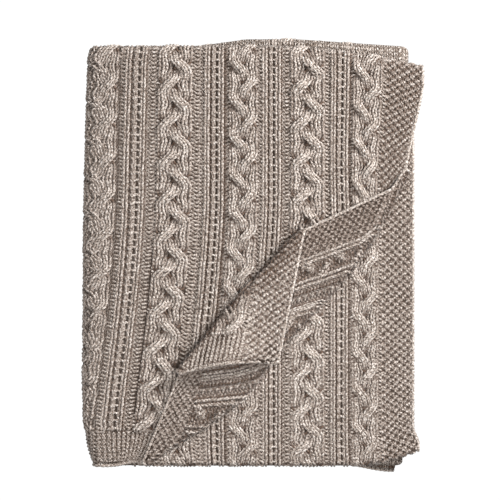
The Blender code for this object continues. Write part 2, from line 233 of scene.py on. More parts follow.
# Shifts of the groups and layers from the straight fold, in units
shifts = {
    "topRight": -21.5,
    "bottomRight": 15.5,
    "secondTop": 8,
    "secondBottom": 7.5,
    "secondRight": 6,
    "selvedgeSlant": 0.125,
    "selvedgeMiddle": 133.5,
    "selvedgeLimits": (-6.2, 6.5),
    "underSelvedge": -3.0,
    "underSelvedgeEnd": 5.5,
}
room = {
    "floorSize": 3,
    "floorDrop": 0.0005,
    "floorGlow": 0.45,
    "floorSeen": 0.6,
    "sky": 0.07,
    "aim": (0, 0, 0.04),
    "lens": 120,
    "cameraPlan": (-0.0022, 0.0070),
    "sharpHeight": 0.046,
    "widthSeen": 0.630,
    "sensor": 36,
}
# Name, place, size and watts of each light
lights = (
    ("key", (1.30, 1.02, 0.88), 0.5, 45.5),
    ("overhead", (-0.08, -0.24, 1.1), 0.7, 8.5),
)
# One stitch of yarn, in stitch widths, row heights and depths: across, up, out
stitchPath = np.array((
    (-0.50, -0.80, -1.0), (-0.16, -0.58, -0.2), (-0.26, 0.05, 1.0), (-0.39, 0.66, 0.3),
    (0.00, 1.05, -1.0), (0.39, 0.66, 0.3), (0.26, 0.05, 1.0), (0.16, -0.58, -0.2),
))
# Which of its points are the legs of the loop
legs = np.array((False, True, True, True, False, True, True, True))

# Lengths along the cloth from its knitted edge, and widths from its selvedge
topLength = cloth["topFoldY"] - cloth["edgeY"]
topTurn = topLength + math.pi * cloth["layer"]
underLength = topTurn + cloth["topFoldY"] - cloth["bottomFoldY"]
bottomTurn = underLength + math.pi * cloth["layer"] / 2
group = 3 * cloth["layer"]
wrap = group / 2
groupCz = cloth["layer"] + cloth["thick"] / 2
groupAz = groupCz + 2 * group
aWidth = cloth["selvedgeX"] - cloth["leftFoldX"]
leftTurn = aWidth + math.pi * wrap
bWidth = leftTurn + cloth["rightFoldX"] - cloth["leftFoldX"]
rightTurn = bWidth + math.pi * wrap
outerStart = pleat["outer"] + math.pi * pleat["outerRadius"] / 2
outerEnd = pleat["outer"] - math.pi * pleat["outerRadius"] / 2
innerStart = pleat["inner"] + math.pi * pleat["innerRadius"] / 2
innerEnd = pleat["inner"] - math.pi * pleat["innerRadius"] / 2


def smooth(value, start, end):
    t = np.clip((value - start) / (end - start), 0, 1)
    return t * t * (3 - 2 * t)


def spline(table, count=161):
    points = np.array(table) * unit
    points = np.vstack([2 * points[0] - points[1], points, 2 * points[-1] - points[-2]])
    steps = np.linspace(0, 1, 24, endpoint=False)[:, None]
    curve = []
    for a, b, c, d in zip(points, points[1:], points[2:], points[3:]):
        curve.append(
            0.5 * (2 * b + (c - a) * steps + (2 * a - 5 * b + 4 * c - d) * steps**2
                   + (3 * b - a - 3 * c + d) * steps**3)
        )
    curve = np.vstack(curve + [points[-2][None]])
    run = np.concatenate([[0], np.cumsum(np.linalg.norm(np.diff(curve, axis=0), axis=1))])
    even = np.linspace(0, run[-1], count)
    return np.stack([np.interp(even, run, curve[:, 0]), np.interp(even, run, curve[:, 1])], 1)


def outward(curve, side):
    along = np.gradient(curve, axis=0)
    along /= np.linalg.norm(along, axis=1)[:, None]
    return np.stack([along[:, 1], -along[:, 0]], 1) * side


outerCurve = spline(pleat["outerFold"])
outerOut = outward(outerCurve, 1)
outerTurnLine = outerCurve - outerOut * (pleat["outerRadius"] + cloth["thick"] / 2)
innerCurve = spline(pleat["innerFold"])
innerOut = outward(innerCurve, -1)
innerTurnLine = innerCurve - innerOut * (pleat["innerRadius"] + cloth["thick"] / 2)


def onCurve(curve, t):
    index = np.linspace(0, 1, len(curve))
    return np.stack([np.interp(t, index, curve[:, 0]), np.interp(t, index, curve[:, 1])], -1)


# Along the length: y and the level within the group
def section(v, offset):
    layer = cloth["layer"]
    y, level = cloth["edgeY"] + v, layer + offset
    turn = (v > topLength) & (v <= topTurn)
    angle = (v - topLength) / layer
    y = np.where(turn, cloth["topFoldY"] + (layer + offset) * np.sin(angle), y)
    level = np.where(turn, (layer + offset) * np.cos(angle), level)
    under = (v > topTurn) & (v <= underLength)
    y = np.where(under, cloth["topFoldY"] - (v - topTurn), y)
    level = np.where(under, -layer - offset, level)
    turn = (v > underLength) & (v <= bottomTurn)
    angle = (v - underLength) / (layer / 2)
    y = np.where(turn, cloth["bottomFoldY"] - (layer / 2 + offset) * np.sin(angle), y)
    level = np.where(turn, -layer / 2 - (layer / 2 + offset) * np.cos(angle), level)
    middle = v > bottomTurn
    y = np.where(middle, cloth["bottomFoldY"] + (v - bottomTurn), y)
    return y, np.where(middle, offset, level)


# Along the width: the group's middle line and its normal
def across(w):
    x, z = cloth["selvedgeX"] - w, np.full_like(w, groupAz)
    nx, nz = np.zeros_like(w), np.ones_like(w)
    turn = (w > aWidth) & (w <= leftTurn)
    angle = (w - aWidth) / wrap
    x = np.where(turn, cloth["leftFoldX"] - wrap * np.sin(angle), x)
    z = np.where(turn, groupAz - wrap + wrap * np.cos(angle), z)
    nx, nz = np.where(turn, -np.sin(angle), nx), np.where(turn, np.cos(angle), nz)
    back = (w > leftTurn) & (w <= bWidth)
    x = np.where(back, cloth["leftFoldX"] + (w - leftTurn), x)
    z, nz = np.where(back, groupAz - group, z), np.where(back, -1, nz)
    turn = (w > bWidth) & (w <= rightTurn)
    angle = (w - bWidth) / wrap
    x = np.where(turn, cloth["rightFoldX"] + wrap * np.sin(angle), x)
    z = np.where(turn, groupAz - group - wrap + wrap * np.cos(angle), z)
    nx, nz = np.where(turn, -np.sin(angle), nx), np.where(turn, -np.cos(angle), nz)
    last = w > rightTurn
    x = np.where(last, cloth["rightFoldX"] - (w - rightTurn), x)
    z, nz = np.where(last, groupCz, z), np.where(last, 1, nz)
    return x, z, nx, nz


# Small shifts of each group and layer from the straight fold
def settled(x, y, v, w):
    lower = smooth(w, aWidth, bWidth * 0.8)
    upper = 1 - lower
    first = 1 - smooth(v, topLength * 0.5, topLength * 0.8)
    right = np.clip(x / (170.8 * unit), 0, 1.1)
    top = smooth(y, 0.05, cloth["topFoldY"])
    bottom = 1 - smooth(y, cloth["bottomFoldY"], -0.08)
    corner = np.clip((x - 95 * unit) / (70.8 * unit), 0, 1.1)
    dyTop = shifts["topRight"] * unit * right**2.2 * top
    dy = upper * (dyTop + shifts["bottomRight"] * unit * corner**2 * bottom)
    bulge = smooth(x, -75 * unit, 0) * (1 - 0.9 * smooth(x, 30 * unit, 157 * unit))
    dy += lower * shifts["secondTop"] * unit * bulge * top
    dy -= lower * first * shifts["secondBottom"] * unit * smooth(x, 90 * unit, 148 * unit) * bottom
    near = np.clip(1 - w / (110 * unit), 0, 1) ** 2
    slant = shifts["selvedgeSlant"] * (y - shifts["selvedgeMiddle"] * unit)
    slant = np.clip(slant, shifts["selvedgeLimits"][0] * unit, shifts["selvedgeLimits"][1] * unit)
    beyond = smooth(v, topTurn, topTurn + 0.12)
    dx = near * slant * (1 - beyond)
    atEnd = 1 - smooth(y, -203 * unit, -184 * unit)
    dx += near * unit * beyond * (shifts["underSelvedge"] + shifts["underSelvedgeEnd"] * atEnd)
    inner = 1 - smooth(y, cloth["bottomFoldY"], 0.1)
    dx -= lower * shifts["secondRight"] * unit * smooth(x, 0, cloth["rightFoldX"]) * inner
    table = np.array(leftSide) * unit
    inwards = np.interp(y, table[:, 0], table[:, 1]) + 170.0 * unit
    return x + dx + inwards * (1 - smooth(x, cloth["leftFoldX"], 0.0)), y + dy


def leaning(v):
    reach = cloth["leanStartY"] - cloth["edgeY"]
    return cloth["lean"] * np.clip((reach - v) / reach, 0, 1) ** 1.5


def laid(u, v, offset):
    y, level = section(v, offset)
    w = u + leaning(v) * (1 - smooth(u, leftTurn, bWidth))
    x, z, nx, nz = across(w)
    x, y = settled(x + level * nx, y, v, w)
    return np.stack([x, y, z + level * nz], -1)


def pleatPlace(u, v):
    s = np.maximum(pleat["normal"][0] * u + pleat["normal"][1] * v, 1e-4)
    p = -pleat["normal"][1] * u + pleat["normal"][0] * v
    return s, (p / s - pleat["edgeP"]) / (pleat["selvedgeP"] - pleat["edgeP"])


def flatPlace(s, t):
    p = s * (pleat["edgeP"] + t * (pleat["selvedgeP"] - pleat["edgeP"]))
    a, b = pleat["normal"]
    return a * s - b * p, b * s + a * p


# A point of the cloth, at an offset to its right side
def placed(u, v, offset):
    base = laid(u, v, offset)
    s, t = pleatPlace(u, v)
    inside = np.clip(t, 0, 1)
    topZ = groupAz + cloth["layer"]
    outer, inner = onCurve(outerTurnLine, inside), onCurve(innerTurnLine, inside)
    outerAway, innerAway = onCurve(outerOut, inside), onCurve(innerOut, inside)

    atTurn = laid(*flatPlace(np.full_like(s, outerStart), inside), offset)[..., :2]
    reach = pleat["settle"] - pleat["settleLess"] * (1 - smooth(inside, 0, 0.25))
    hold = 1 - smooth(s, outerStart, outerStart + reach)
    plan = base[..., :2] + hold[..., None] * (outer - atTurn)
    height = base[..., 2]

    angle = (outerStart - s) / pleat["outerRadius"]
    turn = (s <= outerStart) & (s > outerEnd)
    radius = pleat["outerRadius"] - offset
    plan = np.where(turn[..., None], outer + outerAway * (radius * np.sin(angle))[..., None], plan)
    height = np.where(turn, topZ + pleat["outerRadius"] - radius * np.cos(angle), height)

    share = (outerEnd - s) / (outerEnd - innerStart)
    strip = (s <= outerEnd) & (s > innerStart)
    belly = pleat["lipSag"] * (1 - np.clip(share, 0, 1)) * smooth(share, 0, 0.16)
    belly = belly * smooth(inside, pleat["sagFrom"], 1)
    lip = outer * (1 - share)[..., None] + inner * share[..., None]
    lip = lip - np.stack([0 * belly, belly], -1)
    plan = np.where(strip[..., None], lip, plan)
    stripZ = topZ + 2 * pleat["outerRadius"]
    height = np.where(strip, stripZ - offset, height)

    angle = (innerStart - s) / pleat["innerRadius"]
    turn = (s <= innerStart) & (s > innerEnd)
    radius = pleat["innerRadius"] + offset
    plan = np.where(turn[..., None], inner + innerAway * (radius * np.sin(angle))[..., None], plan)
    height = np.where(turn, stripZ + pleat["innerRadius"] - radius * np.cos(angle), height)

    share = (innerEnd - s) / innerEnd
    flap = s <= innerEnd
    corner = np.array(pleat["corner"]) * unit
    turned = inner * (1 - share)[..., None] + corner * share[..., None]
    lifted = pleat["edgeRise"] * np.sin(math.pi * np.clip(share, 0, 1))
    lifted = lifted * (1 - smooth(inside, 0, pleat["edgeRiseTo"]))
    turned = turned + np.stack([0 * lifted, lifted], -1)
    plan = np.where(flap[..., None], turned, plan)
    arch = pleat["arch"] * np.sin(math.pi * np.clip(share, 0, 1) ** 0.9) ** 2
    arch = arch * (1 - smooth(inside, 0, pleat["archTo"]))
    height = np.where(flap, stripZ + 2 * pleat["innerRadius"] + offset + arch, height)

    pleated = (v < topLength) & (s < outerStart + pleat["settle"]) & (u < aWidth - cloth["lean"])
    return np.where(pleated[..., None], np.concatenate([plan, height[..., None]], -1), base)


# Materials
def newMaterial(name):
    material = bpy.data.materials.new(name)
    material.use_nodes = True
    nodes, links = material.node_tree.nodes, material.node_tree.links
    return material, nodes, links, nodes["Principled BSDF"]


def feed(links, socket, value):
    if isinstance(value, bpy.types.NodeSocket):
        links.new(value, socket)
    elif value is not None:
        socket.default_value = value


# Gives a function that adds a math node
def calculator(nodes, links):
    def calc(operation, a, b=None):
        node = nodes.new("ShaderNodeMath")
        node.operation = operation
        feed(links, node.inputs[0], a)
        feed(links, node.inputs[1], b)
        return node.outputs[0]

    return calc


def mixed(nodes, links, factor, first, second, blend="MIX"):
    node = nodes.new("ShaderNodeMix")
    node.data_type, node.blend_type = "RGBA", blend
    for socket, value in ((0, factor), (6, first), (7, second)):
        feed(links, node.inputs[socket], value)
    return node.outputs[2]


# Heathered fibre: flecks of light and dark over the yarn's own colour
def heatherGroup():
    tree = bpy.data.node_groups.new("heather", "ShaderNodeTree")
    face = tree.interface
    face.new_socket("vector", in_out="INPUT", socket_type="NodeSocketVector")
    for name in ("dark", "middle", "light"):
        socket = face.new_socket(name, in_out="INPUT", socket_type="NodeSocketColor")
        socket.default_value = heatherLook[name]
    face.new_socket("colour", in_out="OUTPUT", socket_type="NodeSocketColor")
    face.new_socket("fibre", in_out="OUTPUT", socket_type="NodeSocketFloat")
    nodes, links = tree.nodes, tree.links
    calc = calculator(nodes, links)
    source, out = nodes.new("NodeGroupInput"), nodes.new("NodeGroupOutput")

    def noise(scale, detail, roughness):
        node = nodes.new("ShaderNodeTexNoise")
        for name, value in (("Scale", scale), ("Detail", detail), ("Roughness", roughness)):
            node.inputs[name].default_value = value
        links.new(source.outputs["vector"], node.inputs["Vector"])
        return node.outputs["Fac"]

    def share(value, start, end):
        node = nodes.new("ShaderNodeMapRange")
        links.new(value, node.inputs["Value"])
        node.inputs["From Min"].default_value, node.inputs["From Max"].default_value = start, end
        return node.outputs[0]

    fleck, fine = noise(*heatherLook["flecks"]), noise(*heatherLook["fine"])
    both = calc("ADD", calc("MULTIPLY", fleck, 0.6), calc("MULTIPLY", fine, 0.4))
    low, high = share(both, *heatherLook["darkRange"]), share(both, *heatherLook["lightRange"])
    colour = mixed(nodes, links, low, source.outputs["dark"], source.outputs["middle"])
    colour = mixed(nodes, links, high, colour, source.outputs["light"])
    links.new(colour, out.inputs["colour"])
    links.new(fine, out.inputs["fibre"])
    return tree


heather = heatherGroup()


def heatherNode(nodes, links):
    node = nodes.new("ShaderNodeGroup")
    node.node_tree = heather
    links.new(nodes.new("ShaderNodeTexCoord").outputs["Object"], node.inputs["vector"])
    return node.outputs["colour"], node.outputs["fibre"]


def attributeValue(nodes, name):
    node = nodes.new("ShaderNodeAttribute")
    node.attribute_name = name
    return node.outputs["Fac"]


def uvPlace(nodes, links, name):
    uv = nodes.new("ShaderNodeUVMap")
    uv.uv_map = name
    split = nodes.new("ShaderNodeSeparateXYZ")
    links.new(uv.outputs["UV"], split.inputs[0])
    return split.outputs[0], split.outputs[1]


def finishShader(nodes, links, shader, colour, height, strength, distance, values):
    links.new(colour, shader.inputs["Base Color"])
    bump = nodes.new("ShaderNodeBump")
    bump.inputs["Strength"].default_value = strength
    bump.inputs["Distance"].default_value = distance
    links.new(height, bump.inputs["Height"])
    links.new(bump.outputs["Normal"], shader.inputs["Normal"])
    for name, value in values.items():
        shader.inputs[name].default_value = value


def yarnMaterial():
    material, nodes, links, shader = newMaterial("heatheredYarn")
    calc = calculator(nodes, links)
    colour, fibre = heatherNode(nodes, links)
    # Painted shade: the wool colour is darkened towards the hollow colour where the painted light value is
    # low
    depth = mixed(nodes, links, attributeValue(nodes, "paintedLight"), heatherLook["hollow"], (1, 1, 1, 1))
    shaded = mixed(nodes, links, 1.0, colour, depth, "MULTIPLY")
    along, around = uvPlace(nodes, links, "yarnUv")
    turn = calc("ADD", along, calc("MULTIPLY", around, 3.0))
    ply = calc("ABSOLUTE", calc("SINE", calc("MULTIPLY", turn, math.pi)))
    height = calc("ADD", calc("MULTIPLY", ply, 0.6), calc("MULTIPLY", fibre, 0.9))
    look = {"Roughness": 0.92, "Specular IOR Level": 0.2, "Sheen Weight": 0.25, "Sheen Roughness": 0.6}
    finishShader(nodes, links, shader, shaded, height, 0.7, 0.0005, look)
    return material


# Plain stitches drawn on the core, with painted shade in their grooves and a painted shadow colour where
# yarn covers it
def coreMaterial():
    material, nodes, links, shader = newMaterial("knitCore")
    calc = calculator(nodes, links)
    sideways, lengthways = uvPlace(nodes, links, "flatUv")
    column = calc("FRACT", calc("DIVIDE", sideways, knit["coreStitch"]))
    leg = calc("ABSOLUTE", calc("SUBTRACT", column, 0.5))
    row = calc("ADD", calc("DIVIDE", lengthways, knit["row"]), calc("MULTIPLY", leg, -1.6))
    groove = calc("ABSOLUTE", calc("SINE", calc("MULTIPLY", row, math.pi)))
    middle = calc("ABSOLUTE", calc("SINE", calc("MULTIPLY", column, 2 * math.pi)))
    height = calc("MULTIPLY", calc("POWER", groove, 0.6), calc("POWER", middle, 0.6))
    colour, _ = heatherNode(nodes, links)
    bare = calc("MULTIPLY", attributeValue(nodes, "open"), height)
    # Painted shadow: the dark core colour shows where the core is not open, and in the stitch grooves
    shaded = mixed(nodes, links, bare, heatherLook["core"], colour)
    look = {"Roughness": 0.95, "Specular IOR Level": 0.15}
    finishShader(nodes, links, shader, shaded, height, 0.9, 0.0016, look)
    return material


yarnWool, coreWool = yarnMaterial(), coreMaterial()


# Meshes
def newObject(name, points, faces, material):
    mesh = bpy.data.meshes.new(name)
    sides = faces.shape[1]
    mesh.vertices.add(len(points))
    mesh.vertices.foreach_set("co", np.ascontiguousarray(points, np.float32).ravel())
    mesh.loops.add(faces.size)
    mesh.loops.foreach_set("vertex_index", np.ascontiguousarray(faces, np.int32).ravel())
    mesh.polygons.add(len(faces))
    mesh.polygons.foreach_set("loop_start", np.arange(0, faces.size, sides, dtype=np.int32))
    mesh.polygons.foreach_set("use_smooth", np.full(len(faces), True))
    mesh.update(calc_edges=True)
    mesh.validate()
    mesh.materials.append(material)
    thing = bpy.data.objects.new(name, mesh)
    bpy.context.scene.collection.objects.link(thing)
    return thing


def addUv(thing, name, values):
    layer = thing.data.uv_layers.new(name=name)
    layer.data.foreach_set("uv", np.ascontiguousarray(values, np.float32).ravel())


def addValue(thing, name, values):
    attribute = thing.data.attributes.new(name, "FLOAT", "POINT")
    attribute.data.foreach_set("value", values.astype(np.float32))


# Yarn tubes round the given lines: rows of points with the cloth's normal at each
def tubes(name, centre, up, radius, keep, sides, paintedLight):
    tangent = np.gradient(centre, axis=1)
    tangent /= np.linalg.norm(tangent, axis=-1, keepdims=True) + 1e-12
    aside = np.cross(tangent, up)
    aside /= np.linalg.norm(aside, axis=-1, keepdims=True) + 1e-12
    over = np.cross(aside, tangent)
    angle = np.arange(sides) * 2 * math.pi / sides + yarn["turn"]
    ring = centre[:, :, None] + radius[:, :, None, None] * (
        np.cos(angle)[:, None] * aside[:, :, None] + np.sin(angle)[:, None] * over[:, :, None]
    )
    index = -np.ones(keep.shape, np.int64)
    index[keep] = np.arange(keep.sum())
    points = ring[keep].reshape(-1, 3)
    steps = np.linalg.norm(np.diff(centre, axis=1, prepend=centre[:, :1]), axis=-1)
    joined = keep[:, :-1] & keep[:, 1:] & (steps[:, 1:] < yarn["longestStep"])
    first, second = index[:, :-1][joined] * sides, index[:, 1:][joined] * sides
    run = np.cumsum(steps, axis=1) / yarn["plyLength"]
    start, end = run[:, :-1][joined], run[:, 1:][joined]
    quads, uvs = [], []
    for k in range(sides):
        n = (k + 1) % sides
        quads.append(np.stack([first + k, second + k, second + n, first + n], 1))
        low, high = np.full_like(start, k / sides), np.full_like(start, (k + 1) / sides)
        uvs.append(np.stack([start, low, end, low, end, high, start, high], 1))
    quads, uvs = np.vstack(quads), np.vstack(uvs)
    thing = newObject(name, points, quads[:, ::-1], yarnWool)
    addUv(thing, "yarnUv", uvs.reshape(-1, 4, 2)[:, ::-1])
    # Painted light and shade value at each point, read by the yarn material
    addValue(thing, "paintedLight", np.repeat(paintedLight[keep], sides))
    return thing


def upAt(u, v, offset):
    up = placed(u, v, offset + 1e-4) - placed(u, v, offset)
    return up / (np.linalg.norm(up, axis=-1, keepdims=True) + 1e-12)


# Where the strands of a plait stand, how far they are lifted and how wide they spread
def strandPath(t, outwards):
    step = np.floor(t).astype(int) % 6
    part = t - np.floor(t)
    begin, end = np.array((1, 0, -1, -1, 0, 1.0)), np.array((0, -1, -1, 0, 1, 1.0))
    lift = np.array((1, -1, 0, 1, -1, 0.0)) * (1 if outwards else -1)
    way = np.where(begin[step] == 0, smooth(part, *strands["leave"]), smooth(part, *strands["arrive"]))
    place = begin[step] + (end[step] - begin[step]) * way
    lifted = lift[step] * np.sin(math.pi * part)
    swell = np.sin(math.pi * part) ** 2
    straight = begin[step] == end[step]
    place = np.where(straight, place * (1 - strands["closeUp"] * swell), place)
    crossing = np.where(lift[step] > 0, strands["spreadOver"], strands["spreadUnder"])
    spread = 1 + swell * np.where(straight, strands["spreadStraight"], crossing)
    return place, np.where(lifted < 0, strands["under"] * lifted, lifted), spread


def columnTable():
    columns, at = [], 0.0
    whole = list(chart) + list(chartRepeat) * 4 + [chart[0]]
    kinds = [part[0] for part in whole]
    for place, (kind, count, width) in enumerate(whole):
        for k in range(count):
            start, end = at + width * k / count, at + width * (k + 1) / count
            if kind == "ground" and k == 0 and kinds[place - 1].startswith("plait"):
                start -= knit["tuck"]
            if kind == "ground" and k == count - 1 and kinds[place + 1].startswith("plait"):
                end += knit["tuck"]
            columns.append((kind, (start + end) / 2 * unit, (end - start) * unit,
                            (at + width / 2) * unit, width * unit, k))
        at += width
    return columns


columns = columnTable()
topColumns = (0, sum(part[1] for part in chart))
sideBorder = chart[0][2] * unit
borderTop = knit["borderRows"] * knit["row"]


def stitchRaise(kind, sign):
    if kind in ("border", "ladder"):
        return np.where(sign < 0, knit["bumpRaise"], -0.6 * knit["bumpRaise"])
    level = {"plaitIn": knit["plaitRaise"], "plaitOut": knit["plaitRaise"], "rib": knit["ribRaise"],
             "ground": -knit["groundDrop"]}[kind]
    return np.full(sign.shape, level)


def wrongSide(u, v):
    s, _ = pleatPlace(u, v)
    return smooth(s, innerEnd, innerStart) * (1 - smooth(s, outerEnd, outerStart)) * (v < topLength)


def bottomFoldShare(v):
    after = smooth(v, bottomTurn - 0.001, bottomTurn + 0.007)
    return smooth(v, underLength - 0.008, underLength - 0.002) * (1 - after)


def leftFoldShare(u, v):
    return smooth(u + leaning(v), aWidth - 0.026, aWidth + 0.004)


# Painted shadow: how deep a place lies in the shade under the flap's knitted edge
def flapShadow(centre):
    start, end = np.array(pleat["innerFold"][0]) * unit, np.array(pleat["corner"]) * unit
    along = np.clip((centre[..., 0] - start[0]) / (end[0] - start[0]), 0, 1)
    edge = start[1] + (end[1] - start[1]) * along + pleat["edgeRise"] * np.sin(math.pi * along)
    deep = 1 - smooth(edge - centre[..., 1], 1 * unit, 11 * unit)
    return deep * np.sqrt(np.sin(math.pi * along))


# Raised work lies flatter round the folds, and stands inwards where the wrong side shows
def raiseShare(u, v):
    strip = wrongSide(u, v) * (u > sideBorder) * (v > borderTop)
    side = leftFoldShare(u, v)
    top = smooth(v, topLength - 0.010, topLength + 0.004) * (u < leftTurn)
    below = smooth(u, leftTurn - 0.002, leftTurn + 0.012) * 0.6 + 0.25 * (u > rightTurn - 0.004)
    ends = (1 - 0.6 * top) * (1 - 0.65 * bottomFoldShare(v))
    return (1 - 1.05 * strip) * (1 - 0.8 * side * (u < leftTurn)) * ends * (1 - below)


# The yarn of a run of rows in the flat cloth: place, height, raise, radius, shade and lumps
def fieldRows(rows, phase, span=topColumns):
    rng = np.random.default_rng(knit["seed"] + int(rows[0]))
    count = len(rows)
    rowV = (rows + knit["firstRow"]) * knit["row"]
    cells, order = [], []
    for kind, centre, width, plaitCentre, plaitWidth, k in columns[span[0]:span[1]]:
        if kind in ("border", "ladder"):
            sign = np.where((rows + (k if kind == "border" else 0)) % 2 == 0, -1.0, 1.0)
        else:
            sign = np.full(count, -1.0 if kind == "ground" else 1.0)
        knitted = sign[:, None] > 0
        wobble = rng.normal(0, knit["jitter"], (count, 3))
        aside = stitchPath[None, :, 0] + 0 * rowV[:, None]
        v = rowV[:, None] + (stitchPath[None, :, 1] + wobble[:, 1:2]) * knit["row"]
        out = stitchPath[None, :, 2] * sign[:, None] * knit["depth"] + wobble[:, 2:3] * knit["depthJitter"]
        raised = stitchRaise(kind, sign)[:, None] + 0 * v
        middle, shade = np.full_like(v, centre), np.zeros_like(v)
        radius = np.full_like(v, np.clip(yarn["share"] * width + yarn["extra"], *yarn["range"]))
        lump = np.full_like(v, wrongLumps.get(kind, wrongLumps["other"]))
        sortAt = np.full(count, centre)
        if kind == "border":
            radius = radius * np.where(knitted, *yarn["seedStitch"])
            # Painted shade and light: knit stitches of the seed darker, purl bumps lighter
            shade = shade + np.where(knitted, *shading["seedStitch"])
        if kind == "ladder":
            pulled = np.where(knitted | legs[None], knit["ladderPull"], 1.0)
            middle = plaitCentre + (centre - plaitCentre) * pulled
            aside = aside * pulled
            out = np.where(~knitted & legs[None], 0.1 * out, out)
            raised = raised - knit["ladderDrop"] * knitted
            radius = radius * np.where(knitted, *yarn["ladder"])
            # Painted light: ladder stitches lighter
            shade = shade + shading["ladder"]
            lump = lump + wrongLumps["ladderKnit"] * knitted
        if kind.startswith("plait"):
            outwards = kind == "plaitOut"
            strand, side = divmod(k, 2)
            start = knit["plaitStart"] + phase - (0 if outwards else 1)
            place, lift, spread = strandPath(v / knit["halfPlait"] + start + 2 * strand, outwards)
            reach = knit["plaitWiden"] * plaitWidth / 6
            aside = (side - 0.5 + aside) * spread
            middle = plaitCentre - place * 2 * reach
            crest = 0.4 + 0.6 * np.clip(lift, 0, 1)
            raised = raised + lift * knit["plaitLift"] + (1 - aside**2) * crest * knit["plaitRound"]
            # Painted shade and light: under strands darker, over strands lighter, strand sides darker and
            # plaits lighter
            shade = np.where(lift < 0, shading["strandUnder"] * lift, shading["strandOver"] * lift)
            shade = shade + shading["strandSides"] * aside**2 + shading["plait"]
            lump = np.where(lift < 0, -wrongLumps["strandUnder"] * lift, 0.0)
            lump = lump + wrongLumps["strandJitter"] * wobble[:, 2:3]
            aside = aside * reach / width
            atRow, _, _ = strandPath(rowV / knit["halfPlait"] + start + 2 * strand, outwards)
            sortAt = plaitCentre - atRow * 2 * reach + (side - 0.5) * reach
        u = middle + (aside + wobble[:, :1] * 0.5) * width
        cells.append((u, v, out, raised, radius, shade, lump))
        order.append(sortAt)
    order = np.argsort(np.stack(order, 1), axis=1, kind="stable")[:, :, None]
    ordered = [np.take_along_axis(np.stack(values, 1), order, axis=1) for values in zip(*cells)]
    return [values.reshape(count, -1) for values in ordered]


# Border rows: seed stitch, and purl wales on the right side beyond the pleat
def borderRows(rows, reach):
    rng = np.random.default_rng(knit["seed"] + 500 + int(rows[0]))
    narrow = int(knit["waleStart"] / knit["borderStitch"])
    count = narrow + int((reach - narrow * knit["borderStitch"]) / knit["wale"])
    k = np.arange(count)
    width = np.where(k < narrow, knit["borderStitch"], knit["wale"])
    rowV = (rows + knit["firstRow"]) * knit["row"]
    middle, height = np.broadcast_arrays((np.cumsum(width) - width / 2)[None], rowV[:, None])
    wales = ((middle > sideBorder) & (wrongSide(middle, height) < 0.5))[:, :, None]
    sign = np.where((rows[:, None] + k[None]) % 2 == 0, -1.0, 1.0)[:, :, None]
    sign = np.where(wales, -1.0, sign)
    groove = wales * smooth(np.abs(stitchPath[:, 0]), 0.18, 0.40)
    wobble = rng.normal(0, knit["jitter"], (len(rows), count, 3))
    u = middle[:, :, None] + (stitchPath[:, 0] + wobble[..., :1] * 0.5) * width[:, None]
    v = height[:, :, None] + (stitchPath[:, 1] + wobble[..., 1:2]) * knit["row"]
    out = stitchPath[:, 2] * sign * knit["depth"] + wobble[..., 2:3] * knit["depthJitter"]
    out = out - knit["waleGroove"] * knit["depth"] * groove
    thick = yarn["share"] * knit["borderStitch"] + yarn["extra"]
    radius = thick * np.where(sign > 0, *yarn["seedStitch"])
    # Painted shade and light: seed knit stitches darker, purl bumps lighter, purl wales lighter and the
    # grooves between them darker
    shade = np.where(sign > 0, *shading["seedStitch"])
    shade = shade + shading["wale"] * wales + shading["waleGroove"] * groove
    values = np.broadcast_arrays(u, v, out, stitchRaise("border", sign), radius, shade, 0.0)
    return [value.reshape(len(rows), -1) for value in values]


def sideOfOuter(plan):
    flat = plan.reshape(-1, 2)
    best = np.full(len(flat), 1e9)
    nearest = np.zeros(len(flat), int)
    for k in range(0, len(outerCurve), 4):
        gap = np.hypot(flat[:, 0] - outerCurve[k, 0], flat[:, 1] - outerCurve[k, 1])
        nearer = gap < best
        best[nearer], nearest[nearer] = gap[nearer], k
    side = ((flat - outerCurve[nearest]) * outerOut[nearest]).sum(-1)
    return side.reshape(plan.shape[:-1])


# True under the pleat, more than a margin from its outline
def underPleat(plan, margin):
    outline = np.vstack([outerCurve[::8], innerCurve[::-8]])
    x, y = plan[..., 0], plan[..., 1]
    inside = np.zeros(x.shape, bool)
    near = np.full(x.shape, 1e9)
    for (ax, ay), (bx, by) in zip(outline, np.roll(outline, -1, axis=0)):
        crosses = (ay > y) != (by > y)
        inside ^= crosses & (x < ax + (y - ay) / (by - ay + 1e-12) * (bx - ax))
        length = (bx - ax) ** 2 + (by - ay) ** 2 + 1e-12
        t = np.clip(((x - ax) * (bx - ax) + (y - ay) * (by - ay)) / length, 0, 1)
        near = np.minimum(near, np.hypot(x - ax - t * (bx - ax), y - ay - t * (by - ay)))
    return inside & (near > margin)


